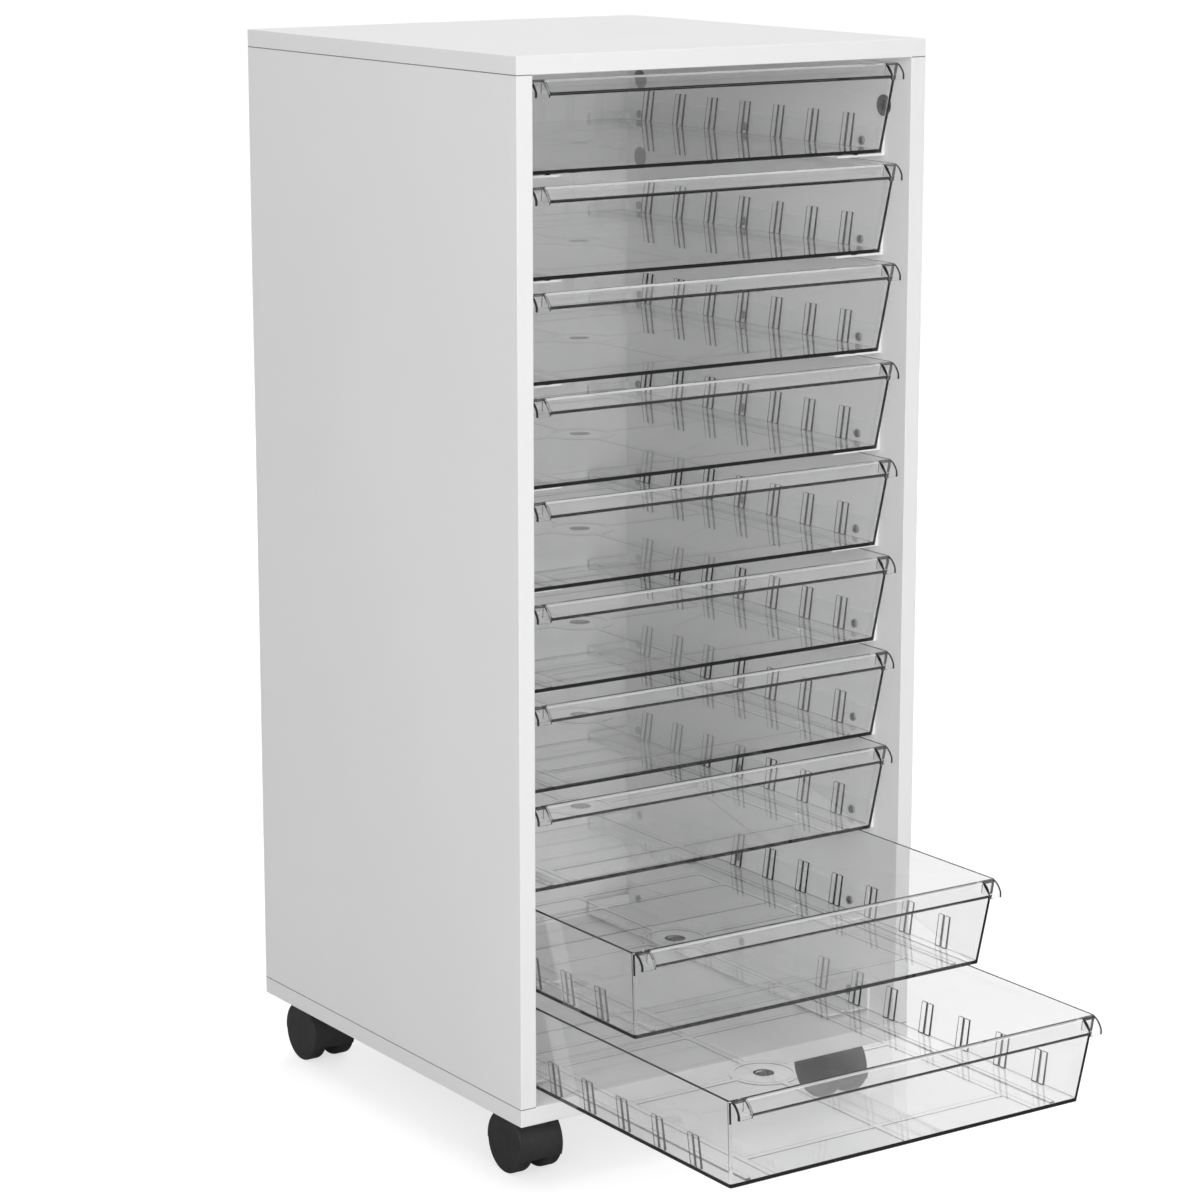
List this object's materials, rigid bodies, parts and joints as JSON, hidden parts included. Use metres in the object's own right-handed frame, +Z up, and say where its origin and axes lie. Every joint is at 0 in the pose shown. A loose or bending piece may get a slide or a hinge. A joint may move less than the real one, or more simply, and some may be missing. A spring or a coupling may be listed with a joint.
{
  "type": "rolling drawer cart",
  "caption": "Rolling cart: a white board cabinet with a tall stack of clear drawers with sloping pull lips, sliding on L-shaped runners, on hooded twin-wheel casters.",
  "frame": {"origin": "on the floor under the centre of the cabinet", "axes": "+Z up, the drawers' fronts face -Y, +X to the right of someone who faces the drawers"},
  "size_m": [0.405, 0.7059, 0.933],
  "materials": {
    "white_board": "smooth white melamine coated board",
    "white_plastic": "satin white moulding",
    "clear_plastic": "clear glossy moulding",
    "hood_black": "satin black moulding",
    "wheel_black": "satin black moulding",
    "steel": "zinc plated",
    "screw_steel": "zinc plated",
    "cam_metal": "dark die casting",
    "dowel_wood": "plain beech"
  },
  "bodies": {
    "cabinet": {"top_panel": "white_board", "bottom_panel": "white_board", "left_side_panel": "white_board", "right_side_panel": "white_board", "back_panel": "white_board", "cam_locks": "cam_metal", "cam_bolts": "steel", "joint_dowels": "dowel_wood", "carcass_screws": "steel", "runner_pair_01": "white_plastic", "runner_pair_02": "white_plastic", "runner_pair_03": "white_plastic", "runner_pair_04": "white_plastic", "runner_pair_05": "white_plastic", "runner_pair_06": "white_plastic", "runner_pair_07": "white_plastic", "runner_pair_08": "white_plastic", "runner_pair_09": "white_plastic", "runner_pair_10": "white_plastic", "runner_screws": "screw_steel", "caster_front_left_plate": "steel", "caster_front_left_stem": "steel", "caster_front_right_plate": "steel", "caster_front_right_stem": "steel", "caster_rear_left_plate": "steel", "caster_rear_left_stem": "steel", "caster_rear_right_plate": "steel", "caster_rear_right_stem": "steel", "caster_screws": "screw_steel"},
    "drawer_01": {"drawer_01": "clear_plastic"},
    "drawer_02": {"drawer_02": "clear_plastic"},
    "drawer_03": {"drawer_03": "clear_plastic"},
    "drawer_04": {"drawer_04": "clear_plastic"},
    "drawer_05": {"drawer_05": "clear_plastic"},
    "drawer_06": {"drawer_06": "clear_plastic"},
    "drawer_07": {"drawer_07": "clear_plastic"},
    "drawer_08": {"drawer_08": "clear_plastic"},
    "drawer_09": {"drawer_09": "clear_plastic"},
    "drawer_10": {"drawer_10": "clear_plastic"},
    "caster_front_left": {"caster_front_left_hood": "hood_black", "caster_front_left_axle": "steel"},
    "caster_front_left_wheel_left": {"caster_front_left_wheel_left": "wheel_black"},
    "caster_front_left_wheel_right": {"caster_front_left_wheel_right": "wheel_black"},
    "caster_front_right": {"caster_front_right_hood": "hood_black", "caster_front_right_axle": "steel"},
    "caster_front_right_wheel_left": {"caster_front_right_wheel_left": "wheel_black"},
    "caster_front_right_wheel_right": {"caster_front_right_wheel_right": "wheel_black"},
    "caster_rear_left": {"caster_rear_left_hood": "hood_black", "caster_rear_left_axle": "steel"},
    "caster_rear_left_wheel_left": {"caster_rear_left_wheel_left": "wheel_black"},
    "caster_rear_left_wheel_right": {"caster_rear_left_wheel_right": "wheel_black"},
    "caster_rear_right": {"caster_rear_right_hood": "hood_black", "caster_rear_right_axle": "steel"},
    "caster_rear_right_wheel_left": {"caster_rear_right_wheel_left": "wheel_black"},
    "caster_rear_right_wheel_right": {"caster_rear_right_wheel_right": "wheel_black"}
  },
  "joints": [
    {"name": "drawer_01_slide", "type": "slide", "parent": "cabinet", "child": "drawer_01", "axis": [0, -1, 0], "range_m": [0, 0.3]},
    {"name": "drawer_02_slide", "type": "slide", "parent": "cabinet", "child": "drawer_02", "axis": [0, -1, 0], "range_m": [0, 0.3]},
    {"name": "drawer_03_slide", "type": "slide", "parent": "cabinet", "child": "drawer_03", "axis": [0, -1, 0], "range_m": [0, 0.3]},
    {"name": "drawer_04_slide", "type": "slide", "parent": "cabinet", "child": "drawer_04", "axis": [0, -1, 0], "range_m": [0, 0.3]},
    {"name": "drawer_05_slide", "type": "slide", "parent": "cabinet", "child": "drawer_05", "axis": [0, -1, 0], "range_m": [0, 0.3]},
    {"name": "drawer_06_slide", "type": "slide", "parent": "cabinet", "child": "drawer_06", "axis": [0, -1, 0], "range_m": [0, 0.3]},
    {"name": "drawer_07_slide", "type": "slide", "parent": "cabinet", "child": "drawer_07", "axis": [0, -1, 0], "range_m": [0, 0.3]},
    {"name": "drawer_08_slide", "type": "slide", "parent": "cabinet", "child": "drawer_08", "axis": [0, -1, 0], "range_m": [0, 0.3]},
    {"name": "drawer_09_slide", "type": "slide", "parent": "cabinet", "child": "drawer_09", "axis": [0, -1, 0], "range_m": [-0.148, 0.152]},
    {"name": "drawer_10_slide", "type": "slide", "parent": "cabinet", "child": "drawer_10", "axis": [0, -1, 0], "range_m": [-0.277, 0.023]},
    {"name": "caster_front_left_swivel", "type": "hinge", "parent": "cabinet", "child": "caster_front_left", "pos_m": [-0.1614, -0.1728, 0.045], "axis": [0, 0, 1], "continuous": true},
    {"name": "caster_front_left_left_spin", "type": "hinge", "parent": "caster_front_left", "child": "caster_front_left_wheel_left", "pos_m": [-0.1614, -0.1571, 0.026], "axis": [1, 0, 0], "continuous": true},
    {"name": "caster_front_left_right_spin", "type": "hinge", "parent": "caster_front_left", "child": "caster_front_left_wheel_right", "pos_m": [-0.1614, -0.1571, 0.026], "axis": [1, 0, 0], "continuous": true},
    {"name": "caster_front_right_swivel", "type": "hinge", "parent": "cabinet", "child": "caster_front_right", "pos_m": [0.1614, -0.1728, 0.045], "axis": [0, 0, 1], "continuous": true},
    {"name": "caster_front_right_left_spin", "type": "hinge", "parent": "caster_front_right", "child": "caster_front_right_wheel_left", "pos_m": [0.1614, -0.1571, 0.026], "axis": [1, 0, 0], "continuous": true},
    {"name": "caster_front_right_right_spin", "type": "hinge", "parent": "caster_front_right", "child": "caster_front_right_wheel_right", "pos_m": [0.1614, -0.1571, 0.026], "axis": [1, 0, 0], "continuous": true},
    {"name": "caster_rear_left_swivel", "type": "hinge", "parent": "cabinet", "child": "caster_rear_left", "pos_m": [-0.1614, 0.1728, 0.045], "axis": [0, 0, 1], "continuous": true},
    {"name": "caster_rear_left_left_spin", "type": "hinge", "parent": "caster_rear_left", "child": "caster_rear_left_wheel_left", "pos_m": [-0.1614, 0.1885, 0.026], "axis": [1, 0, 0], "continuous": true},
    {"name": "caster_rear_left_right_spin", "type": "hinge", "parent": "caster_rear_left", "child": "caster_rear_left_wheel_right", "pos_m": [-0.1614, 0.1885, 0.026], "axis": [1, 0, 0], "continuous": true},
    {"name": "caster_rear_right_swivel", "type": "hinge", "parent": "cabinet", "child": "caster_rear_right", "pos_m": [0.1614, 0.1728, 0.045], "axis": [0, 0, 1], "continuous": true},
    {"name": "caster_rear_right_left_spin", "type": "hinge", "parent": "caster_rear_right", "child": "caster_rear_right_wheel_left", "pos_m": [0.1614, 0.1885, 0.026], "axis": [1, 0, 0], "continuous": true},
    {"name": "caster_rear_right_right_spin", "type": "hinge", "parent": "caster_rear_right", "child": "caster_rear_right_wheel_right", "pos_m": [0.1614, 0.1885, 0.026], "axis": [1, 0, 0], "continuous": true}
  ]
}
